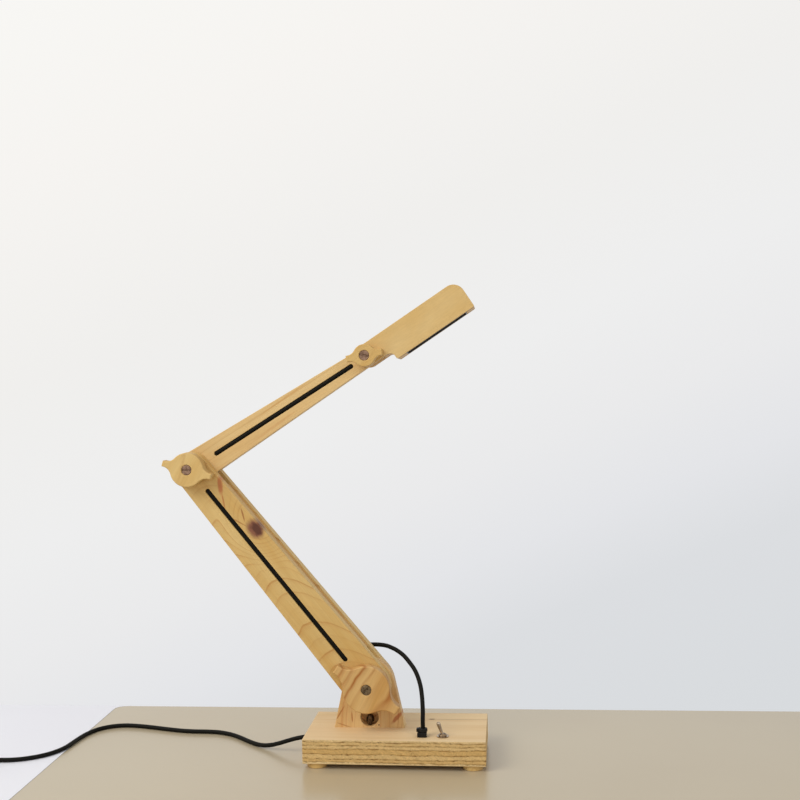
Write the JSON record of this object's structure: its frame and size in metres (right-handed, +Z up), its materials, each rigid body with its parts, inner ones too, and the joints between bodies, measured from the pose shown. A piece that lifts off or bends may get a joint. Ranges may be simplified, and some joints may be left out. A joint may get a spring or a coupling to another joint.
{
  "type": "accordion desk lamp",
  "caption": "Folding desk lamp of pine and plywood boards: swivelling post, clamped arms and lamp head, with wing knobs and a lead in grooves.",
  "frame": {"origin": "on the table, under the middle of the base block", "axes": "+Z up, +X to the right along the base block, +Y to the back"},
  "size_m": [0.6188, 0.1829, 0.4742],
  "materials": {
    "plywood": "satin",
    "pine": "satin",
    "light_plywood": "satin",
    "steel": "brushed",
    "zinc_steel": "satin",
    "black_pvc": "satin",
    "black_nylon": "satin",
    "red_plastic": "gloss",
    "white_plastic": "satin",
    "frosted_acrylic": "frosted",
    "light_board": "satin",
    "phosphor": "gloss",
    "brass_tin": "satin"
  },
  "bodies": {
    "base": {"base_block": "plywood", "base_cover": "light_plywood", "cover_screws": "zinc_steel", "foot_front_left": "pine", "foot_front_right": "pine", "foot_back_left": "pine", "foot_back_right": "pine", "post_bolt": "steel", "post_bolt_washer": "zinc_steel", "post_cap_nut": "steel", "switch_body": "red_plastic", "switch_bushing": "steel", "switch_terminals": "brass_tin", "switch_washer": "steel", "switch_nut": "steel", "lead_gland": "black_nylon", "gland_tie": "black_nylon", "terminal_block": "white_plastic", "terminal_screws": "zinc_steel", "power_lead_inside": "black_pvc", "lamp_lead_inside": "black_pvc", "thin_wires": "red_plastic", "cord_stop_tie": "black_nylon", "base_loop_lower": "black_pvc", "cord_run": "black_pvc", "cord_coil": "black_pvc", "cord_tail": "black_pvc", "coil_tie": "black_nylon", "plug_body": "black_pvc", "plug_shell": "steel", "plug_tongue": "white_plastic"},
    "toggle": {"switch_lever": "steel"},
    "post": {"post": "pine"},
    "lower_arm": {"lower_arm_front": "pine", "lower_arm_back": "pine", "lower_arm_spacer": "pine", "post_nut": "zinc_steel", "elbow_nut": "zinc_steel", "lower_arm_lead": "black_pvc", "base_loop_upper": "black_pvc", "elbow_loop": "black_pvc"},
    "post_knob": {"post_knob": "pine", "post_screw": "steel"},
    "elbow_knob": {"elbow_knob": "pine", "elbow_screw": "steel"},
    "upper_arm": {"upper_arm": "pine", "upper_arm_lead": "black_pvc", "head_loop": "black_pvc"},
    "head": {"head_front": "light_plywood", "head_back": "light_plywood", "head_core": "light_plywood", "head_nut": "zinc_steel", "head_lead": "black_pvc", "lamp_tray": "black_nylon", "led_board": "light_board", "led_chips": "phosphor", "lens": "frosted_acrylic"},
    "head_knob": {"head_knob": "pine", "head_screw": "steel"}
  },
  "joints": [
    {"name": "post_swivel", "type": "hinge", "parent": "base", "child": "post", "pos_m": [-0.028, 0, 0.029], "axis": [0, 0, 1], "range_deg": [-60, 60], "deforming": ["base_loop_lower"]},
    {"name": "lower_arm_tilt", "type": "hinge", "parent": "post", "child": "lower_arm", "pos_m": [-0.028, 0, 0.073], "axis": [0, 1, 0], "range_deg": [-35, 70], "deforming": ["base_loop_upper"]},
    {"name": "elbow_fold", "type": "hinge", "parent": "lower_arm", "child": "upper_arm", "pos_m": [-0.20673, 0, 0.29371], "axis": [0, 1, 0], "range_deg": [-95, 30], "deforming": ["elbow_loop"]},
    {"name": "head_tilt", "type": "hinge", "parent": "upper_arm", "child": "head", "pos_m": [-0.02364, 0, 0.40547], "axis": [0, 1, 0], "range_deg": [-90, 90], "deforming": ["head_loop"]},
    {"name": "switch_throw", "type": "hinge", "parent": "base", "child": "toggle", "pos_m": [0.0475, -0.0305, 0.03], "axis": [0, 1, 0], "range_deg": [0, 38]},
    {"name": "post_knob_turn", "type": "hinge", "parent": "lower_arm", "child": "post_knob", "pos_m": [-0.028, 0, 0.073], "axis": [0, 1, 0], "range_deg": [-180, 0]},
    {"name": "elbow_knob_turn", "type": "hinge", "parent": "lower_arm", "child": "elbow_knob", "pos_m": [-0.20673, 0, 0.29371], "axis": [0, 1, 0], "range_deg": [-180, 0]},
    {"name": "head_knob_turn", "type": "hinge", "parent": "head", "child": "head_knob", "pos_m": [-0.02364, 0, 0.40547], "axis": [0, 1, 0], "range_deg": [-180, 0]}
  ]
}
